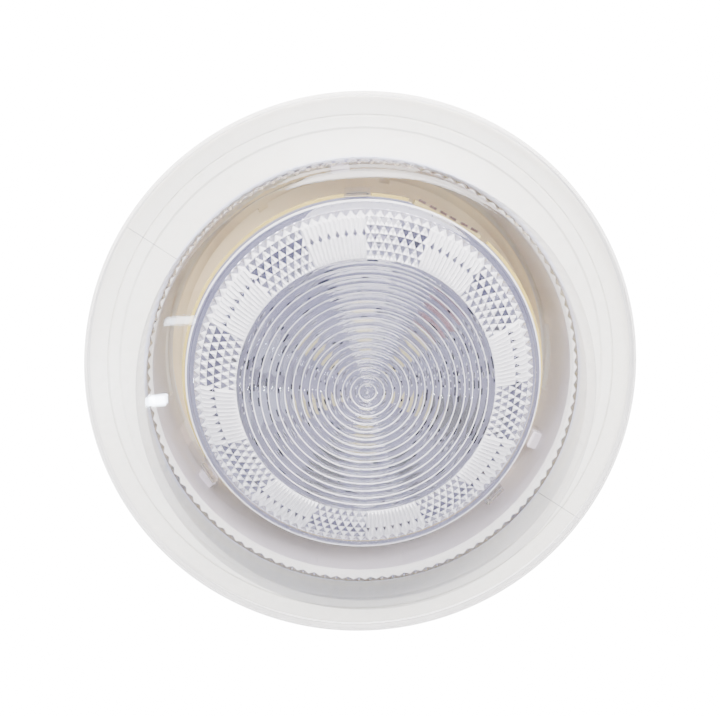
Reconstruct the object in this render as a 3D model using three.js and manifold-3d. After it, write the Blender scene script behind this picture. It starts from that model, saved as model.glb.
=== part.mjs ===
// Round surface-mounted horn strobe: an ivory back pan, a clear twist-lock cover with a wide rim,
// and inside them a carrier drum with the sounder, the circuit board and a prismatic flash lens.
// Millimetres. Every piece is drawn on a local axis Z that leaves the wall (height 0 is the wall face),
// with local Y up and X to the right as seen from the room. The outer group turns local Z to world -Y.

import * as THREE from "three";
import { mergeVertices } from "three/addons/utils/BufferGeometryUtils.js";
import Module from "manifold-3d";

const wasm = await Module();
wasm.setup();

// Driving dimensions
const GAP = 0.3; // clearance between pieces that touch
const ROUND_STEPS = 60; // facets round the large rings
const SMALL_STEPS = 24; // facets round the small parts

const RIM_RADIUS = 59; // outer edge of the rim
const RIM_FRONT = 29; // height of the rim's front face above the wall
const RIM_THICKNESS = 2.8;

const NECK_RADIUS = 45.4; // outer wall of the dome where it meets the rim
const DOME_RADIUS = 45.3; // the same wall at the front corner
const DOME_CORNER = 43.6; // height where that corner starts
const CROWN_HEIGHT = 48.6;
const COVER_WALL = 1.8;
const SPIGOT_RADIUS = 44.9; // cover skirt that plugs into the pan
const SPIGOT_BOTTOM = 8.5;

const CUP_RADIUS = 45.3; // inside of the pan's cup
const CUP_WALL = 2.1;
const PAN_FLOOR = 3;
const SKIRT_RADIUS = 57.8; // pan skirt at the wall
const SKIRT_WALL = 2.2;
const PAN_TOP = RIM_FRONT - RIM_THICKNESS - GAP;
const PAN_RIM_RADIUS = 58.7;
const PAN_RIM_THICKNESS = 2.5;

const SEAL_INNER_RADIUS = 51.8;
const SEAL_OUTER_RADIUS = 54.7;
const SEAL_DEPTH = 1.5;

const BAYONET_ANGLES = [8, 128, 248]; // entries, clockwise from the top
const BAYONET_TURN = 14;
const PEG_WIDTH = 4;
const PEG_HEIGHT = 3;
const PEG_BOTTOM = 13;
const PEG_DEPTH = 3;
const SLOT_CLEARANCE = 0.6; // on each side of a peg in its slot

const DRUM_RADIUS = 38.4;
const DRUM_WALL = 2;
const DRUM_FOOT_RADIUS = 42;
const DRUM_FOOT = 2;
const FOOT_NOTCH_ANGLES = [328, 8];
const DRUM_BOTTOM = PAN_FLOOR + GAP;
const DRUM_TOP = 24.1;
const BOSS_ANGLES = [60, 180, 300];
const BOSS_CIRCLE = 31.5;
const BOSS_RADIUS = 2.8;
const PILOT_RADIUS = 1.5;
const PILOT_STEPS = 16;
const DRUM_WINDOW_ANGLES = [90, 112, 160, 200, 262, 284, 330];

const BOARD_RADIUS = 39;
const BOARD_THICKNESS = 1.6;
const BOARD_BOTTOM = DRUM_TOP + GAP;
const BOARD_TOP = BOARD_BOTTOM + BOARD_THICKNESS;

const LENS_TAB_ANGLES = [358, 239, 133];
const LENS_TAB_WIDTH = 5;
const LENS_TAB_GAP = 5.8; // width of the notches and slots that the tabs pass through
const LENS_TAB_BOTTOM = 18;
const LENS_RIM_RADIUS = 37.9;
const LENS_CROWN = 40;
const LENS_BOTTOM = BOARD_TOP + 0.4;

const DIP_ANGLE = 28; // the tone switch faces outwards here
const DIP_WAYS = 6;
const DIP_PITCH = 2.54;
const DIP_FACE = 38.3; // its front face from the axis
const DIP_BODY_DEPTH = 6.6;
const DIP_BODY_HEIGHT = 4.4;
const DIP_LEVER = { width: 1.5, height: 1.3, length: 3.2, reach: 0.6 };
const DIP_TRAVEL = 1.4;
const DIP_SET = [4]; // ways that stand at the wall side of their travel
const BOARD_FLAT = 37.2; // chord cut in the board so that the levers can be reached

const CHAMBER_RADIUS = 20;
const CHAMBER_INNER_RADIUS = 17.8;
const CHAMBER_BOTTOM = 4.3;
const CHAMBER_TOP = 14.8;
const DISC_HEIGHT = 8;

const CUT_DEPTH = 6; // radial length of the tools that cut through a ring wall

const MOUNT_SPACING = 60;
const MOUNT_SLOT = { width: 3.9, length: 8 };
const CABLE_ENTRY = { angle: 130, circle: 28, radius: 6 };

// ---------------------------------------------------------------- shape helpers

// Shared vertices merged, flat triangles dropped, faces pointing out.
function weld(geometry) {
  const bare = geometry.clone();
  bare.deleteAttribute("normal");
  bare.deleteAttribute("uv");
  const merged = mergeVertices(bare, 1e-4);
  const index = merged.getIndex().array;
  const position = merged.getAttribute("position");
  const kept = [];
  for (let i = 0; i < index.length; i += 3) {
    const [a, b, c] = [index[i], index[i + 1], index[i + 2]];
    if (a !== b && b !== c && c !== a) kept.push(a, b, c);
  }
  if (signedVolume(position, kept) < 0) kept.reverse();
  merged.setIndex(kept);
  return merged;
}

function signedVolume(position, index) {
  const corner = [new THREE.Vector3(), new THREE.Vector3(), new THREE.Vector3()];
  let total = 0;
  for (let i = 0; i < index.length; i += 3) {
    corner.forEach((point, k) => point.fromBufferAttribute(position, index[i + k]));
    total += corner[0].dot(corner[1].cross(corner[2])) / 6;
  }
  return total;
}

function toManifold(geometry) {
  const welded = weld(geometry);
  return new wasm.Manifold(
    new wasm.Mesh({
      numProp: 3,
      vertProperties: new Float32Array(welded.getAttribute("position").array),
      triVerts: new Uint32Array(welded.getIndex().array),
    }),
  );
}

function fromManifold(solid) {
  const mesh = solid.getMesh();
  const geometry = new THREE.BufferGeometry();
  geometry.setAttribute("position", new THREE.BufferAttribute(new Float32Array(mesh.vertProperties), 3));
  geometry.setIndex(Array.from(mesh.triVerts));
  return geometry;
}

// The base with every geometry in `added` joined and every one in `removed` cut away.
function carve(base, added, removed) {
  let solid = toManifold(base);
  for (const piece of added) solid = solid.add(toManifold(piece));
  for (const piece of removed) solid = solid.subtract(toManifold(piece));
  return fromManifold(solid);
}

// A profile of [radius, height] points turned about the local Z axis.
function turned(profile, steps = ROUND_STEPS) {
  const points = profile.map(([radius, height]) => new THREE.Vector2(radius, height));
  return weld(new THREE.LatheGeometry(points, steps).rotateX(Math.PI / 2));
}

// The same, for a ring whose profile closes on itself.
function turnedRing(profile, steps = ROUND_STEPS) {
  return turned([...profile, profile[0]], steps);
}

function block(width, depth, height, bottom = 0) {
  return new THREE.BoxGeometry(width, depth, height).translate(0, 0, bottom + height / 2);
}

function rod(radius, height, bottom = 0, steps = SMALL_STEPS) {
  return new THREE.CylinderGeometry(radius, radius, height, steps)
    .rotateX(Math.PI / 2)
    .translate(0, 0, bottom + height / 2);
}

// Move a geometry out along local Y and turn it clockwise from the top.
function swung(geometry, angle, radius) {
  return geometry.translate(0, radius, 0).rotateZ(THREE.MathUtils.degToRad(-angle));
}

// Points of a curve as [radius, height] pairs.
function sampled(curve, steps) {
  return curve.getPoints(steps).map((point) => [point.x, point.y]);
}

function bezier(a, b, c, d) {
  return new THREE.CubicBezierCurve(...[a, b, c, d].map((pair) => new THREE.Vector2(...pair)));
}

// ---------------------------------------------------------------- materials

function finish(color, roughness, metalness = 0) {
  return new THREE.MeshStandardMaterial({ color, roughness, metalness });
}

const IVORY = finish(0xe4e2d8, 0.45);
const CLEAR = finish(0xe6e9ee, 0.08);
const SILICONE = finish(0xd8d6d0, 0.7);
const RUBBER = finish(0x2b2b2d, 0.8);
const STEEL = finish(0xb9bcc0, 0.3, 1);
const BRASS = finish(0xc9a24a, 0.35, 1);
const CERAMIC = finish(0xd9dcdc, 0.5);
const FOAM = finish(0x3a3a3c, 0.95);
const BOARD = finish(0xd9d6e0, 0.5);
const LED_BODY = finish(0xf0e6a0, 0.3);
const DARK_CAN = finish(0x30333a, 0.35);
const DARK_CHIP = finish(0x1f2023, 0.55);
const RED_RESIN = finish(0xa83a2c, 0.35);
const SWITCH_BODY = finish(0xd8c98a, 0.5);
const SWITCH_LEVER = finish(0x4a2018, 0.5);
const TERMINAL_GREEN = finish(0x2f7d4f, 0.5);
const WIRE_RED = finish(0xb02a22, 0.45);
const WIRE_BLACK = finish(0x222224, 0.45);

const strobe = new THREE.Group();
strobe.rotation.x = Math.PI / 2;

function add(name, geometry, material, parent = strobe) {
  const mesh = new THREE.Mesh(weld(geometry), material);
  mesh.name = name;
  parent.add(mesh);
  return mesh;
}

// A group whose local Y points outwards at the given clockwise angle.
function spoke(angle) {
  const group = new THREE.Group();
  group.rotation.z = THREE.MathUtils.degToRad(-angle);
  strobe.add(group);
  return group;
}

// ---------------------------------------------------------------- back pan

function mountSlot(side) {
  const half = MOUNT_SLOT.length / 2 - MOUNT_SLOT.width / 2;
  const shape = new THREE.Shape();
  shape.absarc(half, 0, MOUNT_SLOT.width / 2, -Math.PI / 2, Math.PI / 2);
  shape.absarc(-half, 0, MOUNT_SLOT.width / 2, Math.PI / 2, -Math.PI / 2);
  const options = { depth: PAN_FLOOR + 2, bevelEnabled: false, curveSegments: 6 };
  return new THREE.ExtrudeGeometry(shape, options).translate((side * MOUNT_SPACING) / 2, 0, -1);
}

// Four groups of slots through the skirt, where the sound leaves.
function soundSlots() {
  const slots = [];
  const perGroup = 7;
  const step = 6;
  const size = { width: 2.4, height: 11, bottom: 6 };
  for (const middle of [45, 135, 225, 315]) {
    for (let i = 0; i < perGroup; i += 1) {
      const angle = middle + (i - (perGroup - 1) / 2) * step;
      slots.push(swung(block(size.width, CUT_DEPTH, size.height, size.bottom), angle, SKIRT_RADIUS - 1));
    }
  }
  return slots;
}

// Wide low ports from the cup out into the ring behind the rim.
function cupPorts() {
  const size = { width: 16, height: 3.4, bottom: 4.8 };
  const angles = [30, 90, 150, 210, 270, 330];
  return angles.map((angle) =>
    swung(block(size.width, CUT_DEPTH, size.height, size.bottom), angle, CUP_RADIUS + 1),
  );
}

function buildPan() {
  const cupOuter = CUP_RADIUS + CUP_WALL;
  const ringRoof = PAN_TOP - PAN_RIM_THICKNESS;
  const profile = [
    [0, 0],
    [cupOuter, 0],
    [cupOuter, ringRoof],
    [SKIRT_RADIUS - SKIRT_WALL + 0.6, ringRoof],
    [SKIRT_RADIUS - SKIRT_WALL, 0],
    [SKIRT_RADIUS, 0],
    [PAN_RIM_RADIUS, PAN_TOP - 0.8],
    [PAN_RIM_RADIUS - 0.4, PAN_TOP],
    [SEAL_OUTER_RADIUS + GAP, PAN_TOP],
    [SEAL_OUTER_RADIUS + GAP, PAN_TOP - SEAL_DEPTH],
    [SEAL_INNER_RADIUS - GAP, PAN_TOP - SEAL_DEPTH],
    [SEAL_INNER_RADIUS - GAP, PAN_TOP],
    [CUP_RADIUS + 0.5, PAN_TOP],
    [CUP_RADIUS, PAN_TOP - 0.5],
    [CUP_RADIUS, PAN_FLOOR + 1.8],
    [CUP_RADIUS - 0.6, PAN_FLOOR + 0.6],
    [CUP_RADIUS - 1.8, PAN_FLOOR],
    [0, PAN_FLOOR],
  ];
  const peg = () => block(PEG_WIDTH, PEG_DEPTH, PEG_HEIGHT, PEG_BOTTOM);
  const pegs = BAYONET_ANGLES.map((angle) => swung(peg(), angle - BAYONET_TURN, CUP_RADIUS - 0.6));
  const pilot = () => rod(PILOT_RADIUS, PAN_FLOOR, 1, PILOT_STEPS);
  const pilots = BOSS_ANGLES.map((angle) => swung(pilot(), angle, BOSS_CIRCLE));
  const entry = swung(rod(CABLE_ENTRY.radius, PAN_FLOOR + 2, -1), CABLE_ENTRY.angle, CABLE_ENTRY.circle);
  const cuts = [mountSlot(1), mountSlot(-1), entry, ...pilots, ...soundSlots(), ...cupPorts()];
  return carve(turned(profile), pegs, cuts);
}

function buildGrommet() {
  const neck = CABLE_ENTRY.radius - GAP;
  const flange = CABLE_ENTRY.radius + 0.8;
  return turned(
    [
      [0, 2.4],
      [neck - 1.4, 2.0],
      [neck - 1.4, 0.4],
      [neck, 0.4],
      [neck, PAN_FLOOR + GAP],
      [flange, PAN_FLOOR + GAP],
      [flange, PAN_FLOOR + 1.3],
      [neck - 1.2, PAN_FLOOR + 1.6],
      [neck - 2, 3.6],
      [0, 3.4],
    ],
    SMALL_STEPS,
  );
}

add("base_pan", buildPan(), IVORY);
add("cable_grommet", swung(buildGrommet(), CABLE_ENTRY.angle, CABLE_ENTRY.circle), RUBBER);

// ---------------------------------------------------------------- clear cover and its seal

// The outer face from the rim to the crown, and the same curve moved inwards by the wall thickness.
function domeCurves() {
  const corner = bezier([DOME_RADIUS, DOME_CORNER], [DOME_RADIUS, 45], [44.6, 45.8], [43, 46]);
  const crown = bezier([43, 46], [33, 47.3], [14, CROWN_HEIGHT], [0, CROWN_HEIGHT]);
  const outer = [];
  const inner = [];
  for (const [curve, steps] of [
    [corner, 5],
    [crown, 5],
  ]) {
    for (let i = curve === corner ? 0 : 1; i <= steps; i += 1) {
      const point = curve.getPoint(i / steps);
      const along = curve.getTangent(i / steps);
      outer.push([point.x, point.y]);
      inner.push([point.x - along.y * COVER_WALL, point.y + along.x * COVER_WALL]);
    }
  }
  return { outer, inner };
}

function coverProfile() {
  const { outer, inner } = domeCurves();
  const underside = RIM_FRONT - RIM_THICKNESS;
  return [
    [0, CROWN_HEIGHT - COVER_WALL],
    ...inner.reverse().slice(1),
    [NECK_RADIUS - COVER_WALL, RIM_FRONT],
    [NECK_RADIUS - COVER_WALL, SPIGOT_BOTTOM],
    [SPIGOT_RADIUS - 0.4, SPIGOT_BOTTOM],
    [SPIGOT_RADIUS, SPIGOT_BOTTOM + 0.6],
    [SPIGOT_RADIUS, underside],
    [RIM_RADIUS - 0.3, underside],
    [RIM_RADIUS, underside + 0.4],
    [RIM_RADIUS, RIM_FRONT - 1],
    [RIM_RADIUS - 0.9, RIM_FRONT],
    [NECK_RADIUS + 0.5, RIM_FRONT],
    [NECK_RADIUS, RIM_FRONT + 0.5],
    ...outer,
  ];
}

// An L-shaped slot in the spigot: up from the lower edge, then sideways to where the peg locks.
function bayonetSlot(entryAngle) {
  const middle = SPIGOT_RADIUS - 0.9;
  const width = PEG_WIDTH + 2 * SLOT_CLEARANCE + 0.4;
  const roof = PEG_BOTTOM + PEG_HEIGHT + SLOT_CLEARANCE;
  const below = SPIGOT_BOTTOM - 2;
  const cuts = [swung(block(width, CUT_DEPTH, roof - below, below), entryAngle, middle)];
  const steps = 5;
  const height = PEG_HEIGHT + 2 * SLOT_CLEARANCE;
  for (let i = 1; i <= steps; i += 1) {
    const angle = entryAngle - (BAYONET_TURN * i) / steps;
    cuts.push(swung(block(width, CUT_DEPTH, height, PEG_BOTTOM - SLOT_CLEARANCE), angle, middle));
  }
  return cuts;
}

function buildCover() {
  return carve(turned(coverProfile()), [], BAYONET_ANGLES.flatMap(bayonetSlot));
}

function buildSeal() {
  const bottom = PAN_TOP - SEAL_DEPTH + 0.1;
  const top = PAN_TOP + 0.2;
  return turnedRing([
    [SEAL_INNER_RADIUS, bottom],
    [SEAL_OUTER_RADIUS, bottom],
    [SEAL_OUTER_RADIUS, top - 0.4],
    [SEAL_OUTER_RADIUS - 0.5, top],
    [SEAL_INNER_RADIUS + 0.5, top],
    [SEAL_INNER_RADIUS, top - 0.4],
  ]);
}

add("clear_cover", buildCover(), CLEAR);
add("cover_seal", buildSeal(), SILICONE);

// ---------------------------------------------------------------- carrier drum

function buildDrum() {
  const inner = DRUM_RADIUS - DRUM_WALL;
  const ring = turnedRing([
    [inner, DRUM_BOTTOM],
    [DRUM_FOOT_RADIUS, DRUM_BOTTOM],
    [DRUM_FOOT_RADIUS, DRUM_BOTTOM + DRUM_FOOT],
    [DRUM_RADIUS, DRUM_BOTTOM + DRUM_FOOT],
    [DRUM_RADIUS, DRUM_TOP],
    [inner, DRUM_TOP],
  ]);
  const height = DRUM_TOP - DRUM_BOTTOM;
  const ribLength = inner - BOSS_CIRCLE + 1;
  const bosses = BOSS_ANGLES.flatMap((angle) => [
    swung(rod(BOSS_RADIUS, height, DRUM_BOTTOM, 20), angle, BOSS_CIRCLE),
    swung(block(2, ribLength, height, DRUM_BOTTOM), angle, BOSS_CIRCLE + ribLength / 2),
  ]);
  const wall = DRUM_RADIUS - DRUM_WALL / 2;
  const pilot = () => rod(PILOT_RADIUS, DRUM_TOP + 2, 0, PILOT_STEPS);
  const pilots = BOSS_ANGLES.map((angle) => swung(pilot(), angle, BOSS_CIRCLE));
  const windows = DRUM_WINDOW_ANGLES.map((angle) => swung(block(11, CUT_DEPTH, 8, 8.6), angle, wall));
  const hookSlot = () => block(LENS_TAB_GAP, CUT_DEPTH, 3.6, LENS_TAB_BOTTOM - 1);
  const hookSlots = LENS_TAB_ANGLES.map((angle) => swung(hookSlot(), angle, wall));
  const footNotch = () => block(2.4, 2, DRUM_FOOT + 1, DRUM_BOTTOM - 0.5);
  const footNotches = FOOT_NOTCH_ANGLES.map((angle) => swung(footNotch(), angle, DRUM_FOOT_RADIUS));
  const dipWidth = DIP_WAYS * DIP_PITCH + 2;
  const dipBottom = DRUM_TOP - DIP_BODY_HEIGHT - 0.6;
  const dipWindow = swung(block(dipWidth, 2 * CUT_DEPTH, 8, dipBottom), DIP_ANGLE, wall - 1);
  return carve(ring, bosses, [...pilots, ...windows, ...hookSlots, ...footNotches, dipWindow]);
}

function buildCarrierScrew() {
  const headBottom = BOARD_TOP + 0.1;
  const screw = turned(
    [
      [0, 1.4],
      [PILOT_RADIUS - GAP, 2.2],
      [PILOT_RADIUS - GAP, headBottom],
      [2.5, headBottom],
      [2.5, headBottom + 1],
      [1.8, headBottom + 1.7],
      [0, headBottom + 1.9],
    ],
    20,
  );
  const cross = [block(3, 0.6, 2, headBottom + 0.9), block(0.6, 3, 2, headBottom + 0.9)];
  return carve(screw, [], cross);
}

add("carrier_drum", buildDrum(), IVORY);
BOSS_ANGLES.forEach((angle, i) => {
  add(`carrier_screw_${i + 1}`, swung(buildCarrierScrew(), angle, BOSS_CIRCLE), STEEL);
});

// ---------------------------------------------------------------- sounder

function buildChamber() {
  const ledge = DISC_HEIGHT - GAP;
  const throat = 6;
  return turnedRing(
    [
      [CHAMBER_INNER_RADIUS, CHAMBER_BOTTOM],
      [CHAMBER_RADIUS, CHAMBER_BOTTOM],
      [CHAMBER_RADIUS, CHAMBER_TOP],
      [throat, CHAMBER_TOP],
      [throat, CHAMBER_TOP - 1.5],
      [CHAMBER_INNER_RADIUS, CHAMBER_TOP - 1.5],
      [CHAMBER_INNER_RADIUS, ledge],
      [CHAMBER_INNER_RADIUS - 2, ledge],
      [CHAMBER_INNER_RADIUS - 2, ledge - 1.3],
      [CHAMBER_INNER_RADIUS, ledge - 1.3],
    ],
    48,
  );
}

function buildGasket() {
  const bottom = PAN_FLOOR + 0.2;
  const top = CHAMBER_BOTTOM - 0.2;
  return turnedRing(
    [
      [CHAMBER_INNER_RADIUS, bottom],
      [CHAMBER_RADIUS, bottom],
      [CHAMBER_RADIUS, top],
      [CHAMBER_INNER_RADIUS, top],
    ],
    48,
  );
}

// A lead from the side of the sounder up to the underside of the board.
function buildLead(angle, startHeight) {
  const radius = 0.55;
  const section = new THREE.Shape();
  section.absarc(0, 0, radius, 0, Math.PI * 2);
  const sides = 8;
  const route = new THREE.CatmullRomCurve3([
    new THREE.Vector3(0, CHAMBER_RADIUS + GAP, startHeight),
    new THREE.Vector3(0, CHAMBER_RADIUS + 3, startHeight + 0.4),
    new THREE.Vector3(0, CHAMBER_RADIUS + 5, startHeight + 5),
    new THREE.Vector3(0, CHAMBER_RADIUS + 4.4, 18),
    new THREE.Vector3(0, CHAMBER_RADIUS + 4.2, BOARD_BOTTOM - GAP),
  ]);
  const options = { steps: 12, extrudePath: route, curveSegments: sides / 2 };
  return swung(new THREE.ExtrudeGeometry(section, options), angle, 0);
}

add("horn_chamber", buildChamber(), IVORY);
add("chamber_gasket", buildGasket(), FOAM);
add("piezo_disc", rod(CHAMBER_INNER_RADIUS - GAP, 0.4, DISC_HEIGHT, 48), BRASS);
add("piezo_ceramic", rod(12, 0.35, DISC_HEIGHT - 0.65, 48), CERAMIC);
add("piezo_lead_red", buildLead(250, 10), WIRE_RED);
add("piezo_lead_black", buildLead(256, 10), WIRE_BLACK);

// ---------------------------------------------------------------- circuit board and what it carries

function buildBoard() {
  const disc = rod(BOARD_RADIUS, BOARD_THICKNESS, BOARD_BOTTOM, ROUND_STEPS);
  const deep = BOARD_THICKNESS + 2;
  const below = BOARD_BOTTOM - 1;
  const screwHole = () => rod(PILOT_RADIUS, deep, below, PILOT_STEPS);
  const screwHoles = BOSS_ANGLES.map((angle) => swung(screwHole(), angle, BOSS_CIRCLE));
  const tabNotch = () => block(LENS_TAB_GAP, 4, deep, below);
  const tabNotches = LENS_TAB_ANGLES.map((angle) => swung(tabNotch(), angle, BOARD_RADIUS + 1.3));
  const flat = swung(block(19, 10, deep, below), DIP_ANGLE, BOARD_FLAT + 5);
  return carve(disc, [], [...screwHoles, ...tabNotches, flat]);
}

// Places a piece's own bottom centre at x, y on the board's front face.
function onBoard(name, geometry, material, x, y, turn = 0) {
  const mesh = add(name, geometry, material);
  mesh.position.set(x, y, BOARD_TOP + 0.1);
  mesh.rotation.z = THREE.MathUtils.degToRad(turn);
}

function buildLed() {
  return carve(block(3.5, 3.5, 1.2), [rod(1.5, 0.7, 1.0, 20)], []);
}

function buildCan(radius, height) {
  return turned(
    [
      [0, 0],
      [radius - 0.3, 0],
      [radius, 0.4],
      [radius, 1.4],
      [radius - 0.3, 1.7],
      [radius, 2.0],
      [radius, height - 0.4],
      [radius - 0.4, height],
      [0, height],
    ],
    28,
  );
}

// A square power inductor with a groove along two sides.
function buildInductor() {
  const size = 7;
  const grooves = [0, 180].map((angle) => swung(block(size + 5, 1.2, 2, 0.8), angle, size / 2 + 0.1));
  return carve(block(size, size, 3.6), [], grooves);
}

add("circuit_board", buildBoard(), BOARD);
const LED_COUNT = 6;
const LED_CIRCLE = 10.5;
for (let i = 0; i < LED_COUNT; i += 1) {
  const angle = (360 / LED_COUNT) * i;
  const radians = THREE.MathUtils.degToRad(angle);
  const [x, y] = [LED_CIRCLE * Math.sin(radians), LED_CIRCLE * Math.cos(radians)];
  onBoard(`led_${i + 1}`, buildLed(), LED_BODY, x, y, -angle);
}
onBoard("capacitor_1", buildCan(4, 6.4), DARK_CAN, -19, 6);
onBoard("capacitor_2", buildCan(4, 6.4), DARK_CAN, -20.5, -4.5);
onBoard("inductor", buildInductor(), DARK_CHIP, 19, -8, 20);
onBoard("film_capacitor", block(7.2, 3, 5.4), RED_RESIN, 15, 13, -40);
onBoard("controller_chip", block(7, 7, 1.2), DARK_CHIP, -8, -20, 15);
onBoard("driver_chip", block(5, 4, 1.5), DARK_CHIP, 9, -20, -10);

// Tone switch: side-acting, under the board's edge, its levers reached through the gap round the board.
function dipOffset(way) {
  return (way - (DIP_WAYS - 1) / 2) * DIP_PITCH;
}

const DIP_TOP = BOARD_BOTTOM - GAP;
const LEVER_TOP = DIP_TOP - 0.9;

function buildDipBody() {
  const width = DIP_WAYS * DIP_PITCH + 0.6;
  const middle = DIP_FACE - DIP_BODY_DEPTH / 2;
  const body = block(width, DIP_BODY_DEPTH, DIP_BODY_HEIGHT, DIP_TOP - DIP_BODY_HEIGHT);
  body.translate(0, middle, 0);
  const slots = [];
  const slotHeight = DIP_LEVER.height + DIP_TRAVEL + 2 * GAP;
  const slotBottom = LEVER_TOP + GAP - slotHeight;
  for (let way = 0; way < DIP_WAYS; way += 1) {
    const slot = block(DIP_LEVER.width + 0.5, DIP_LEVER.length, slotHeight, slotBottom);
    slots.push(slot.translate(dipOffset(way), DIP_FACE - DIP_LEVER.length / 2 + 1, 0));
  }
  return carve(body, [], slots);
}

const dipSpoke = spoke(DIP_ANGLE);
add("dip_switch_body", buildDipBody(), SWITCH_BODY, dipSpoke);
for (let way = 0; way < DIP_WAYS; way += 1) {
  const length = DIP_LEVER.length - 0.7;
  const lever = block(DIP_LEVER.width, length, DIP_LEVER.height, LEVER_TOP - DIP_LEVER.height);
  const mesh = add(`dip_lever_${way + 1}`, lever, SWITCH_LEVER, dipSpoke);
  const sunk = DIP_SET.includes(way + 1) ? DIP_TRAVEL : 0;
  mesh.position.set(dipOffset(way), DIP_FACE + DIP_LEVER.reach - length / 2, -sunk);
}

// Terminal block: under the board, over the cable entry, its screws facing the wall.
const TERMINAL = { ways: 4, pitch: 5, depth: 7.6, height: 9, top: BOARD_BOTTOM - GAP };

function terminalOffset(way) {
  return (way - (TERMINAL.ways - 1) / 2) * TERMINAL.pitch;
}

function buildTerminalBlock() {
  const bottom = TERMINAL.top - TERMINAL.height;
  const body = block(TERMINAL.ways * TERMINAL.pitch, TERMINAL.depth, TERMINAL.height, bottom);
  const cuts = [];
  for (let way = 0; way < TERMINAL.ways; way += 1) {
    const x = terminalOffset(way);
    cuts.push(rod(1.9, 5, bottom - 1, 20).translate(x, 0, 0));
    cuts.push(block(3, 4, 3, bottom + 4.4).translate(x, TERMINAL.depth / 2, 0));
  }
  return carve(body, [], cuts);
}

function buildTerminalScrew() {
  const bottom = TERMINAL.top - TERMINAL.height + 0.4;
  return carve(rod(1.6, 3.1, bottom, 20), [], [block(4, 0.6, 1.2, bottom - 0.4)]);
}

const terminalSpoke = spoke(CABLE_ENTRY.angle);
add("terminal_block", buildTerminalBlock(), TERMINAL_GREEN, terminalSpoke).position.y = CABLE_ENTRY.circle;
for (let way = 0; way < TERMINAL.ways; way += 1) {
  const screw = add(`terminal_screw_${way + 1}`, buildTerminalScrew(), STEEL, terminalSpoke);
  screw.position.set(terminalOffset(way), CABLE_ENTRY.circle, 0);
}

// ---------------------------------------------------------------- flash lens

function lensProfile() {
  const crown = bezier([0, LENS_CROWN], [11, LENS_CROWN], [19, 39.2], [26.6, 37.4]);
  const inside = bezier([25.6, 35.4], [18, 37.2], [10, 38], [0, 38]);
  return [
    ...sampled(crown, 4),
    [31, 35.2],
    [35.3, 31.6],
    [LENS_RIM_RADIUS - 0.4, 29.4],
    [LENS_RIM_RADIUS, RIM_FRONT],
    [LENS_RIM_RADIUS, LENS_BOTTOM],
    [LENS_RIM_RADIUS - 1.9, LENS_BOTTOM],
    [LENS_RIM_RADIUS - 1.9, 28.8],
    [33.9, 30.4],
    [29.8, 33.2],
    ...sampled(inside, 4),
  ];
}

function buildLens() {
  const legTop = 28.4;
  const legs = LENS_TAB_ANGLES.flatMap((angle) => [
    swung(block(LENS_TAB_WIDTH, 1.5, legTop - LENS_TAB_BOTTOM, LENS_TAB_BOTTOM), angle, BOARD_RADIUS + 0.4),
    swung(block(LENS_TAB_WIDTH, 3, 2, LENS_BOTTOM), angle, LENS_RIM_RADIUS + 0.7),
    swung(block(LENS_TAB_WIDTH - 0.4, 2, 1.8, LENS_TAB_BOTTOM), angle, LENS_RIM_RADIUS + 0.3),
  ]);
  return carve(turned(lensProfile()), legs, []);
}

add("lens", buildLens(), CLEAR);

export default strobe;
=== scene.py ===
import math
import random

import bmesh
import bpy
from mathutils import Matrix, Vector


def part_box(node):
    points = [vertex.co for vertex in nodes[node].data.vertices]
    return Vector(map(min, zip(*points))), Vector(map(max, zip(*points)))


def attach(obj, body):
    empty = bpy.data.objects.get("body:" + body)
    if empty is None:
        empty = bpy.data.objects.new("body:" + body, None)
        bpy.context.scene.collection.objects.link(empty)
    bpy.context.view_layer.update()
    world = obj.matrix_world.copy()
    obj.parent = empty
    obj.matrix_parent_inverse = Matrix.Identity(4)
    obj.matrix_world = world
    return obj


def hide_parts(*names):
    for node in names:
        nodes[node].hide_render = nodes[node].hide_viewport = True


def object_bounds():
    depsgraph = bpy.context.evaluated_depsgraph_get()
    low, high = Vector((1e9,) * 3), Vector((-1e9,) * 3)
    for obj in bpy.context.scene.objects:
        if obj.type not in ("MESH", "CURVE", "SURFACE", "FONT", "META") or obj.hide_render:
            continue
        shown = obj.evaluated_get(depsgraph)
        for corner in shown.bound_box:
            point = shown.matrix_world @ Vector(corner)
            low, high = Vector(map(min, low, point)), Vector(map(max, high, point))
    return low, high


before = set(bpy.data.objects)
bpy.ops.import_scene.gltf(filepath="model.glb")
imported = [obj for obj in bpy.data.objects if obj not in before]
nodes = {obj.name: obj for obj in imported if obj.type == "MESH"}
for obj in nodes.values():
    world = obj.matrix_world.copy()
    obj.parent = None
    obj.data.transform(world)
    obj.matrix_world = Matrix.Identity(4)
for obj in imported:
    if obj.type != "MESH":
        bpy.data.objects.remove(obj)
cad_low, cad_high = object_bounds()
MM = 0.001
random.seed(7)

# ---------------------------------------------------------------- sizes read from the frame, in millimetres


def radius_of(node):
    low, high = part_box(node)
    return (high.x - low.x) / 2 / MM


def heights_of(node):
    """(nearest the wall, farthest from it) for a node, as heights over the wall face."""
    low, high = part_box(node)
    return -high.y / MM, -low.y / MM


RIM_RADIUS = radius_of("clear_cover")
CROWN = heights_of("clear_cover")[1]
PAN_TOP = heights_of("base_pan")[1]
PAN_RADIUS = radius_of("base_pan")
SEAL_RADIUS = radius_of("cover_seal")
BOARD_RADIUS = radius_of("circuit_board")
BOARD_BOTTOM, BOARD_TOP = heights_of("circuit_board")
LENS_CROWN = heights_of("lens")[1]
RIM_THICKNESS = 2.8
SEAL_GAP = 0.3
RIM_FRONT = PAN_TOP + SEAL_GAP + RIM_THICKNESS
CUP_RADIUS = 45.3
NECK_RADIUS = 45.4
SPIGOT_RADIUS = 44.9
SPIGOT_BOTTOM = heights_of("clear_cover")[0]
PAN_FLOOR = 3.0

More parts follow.
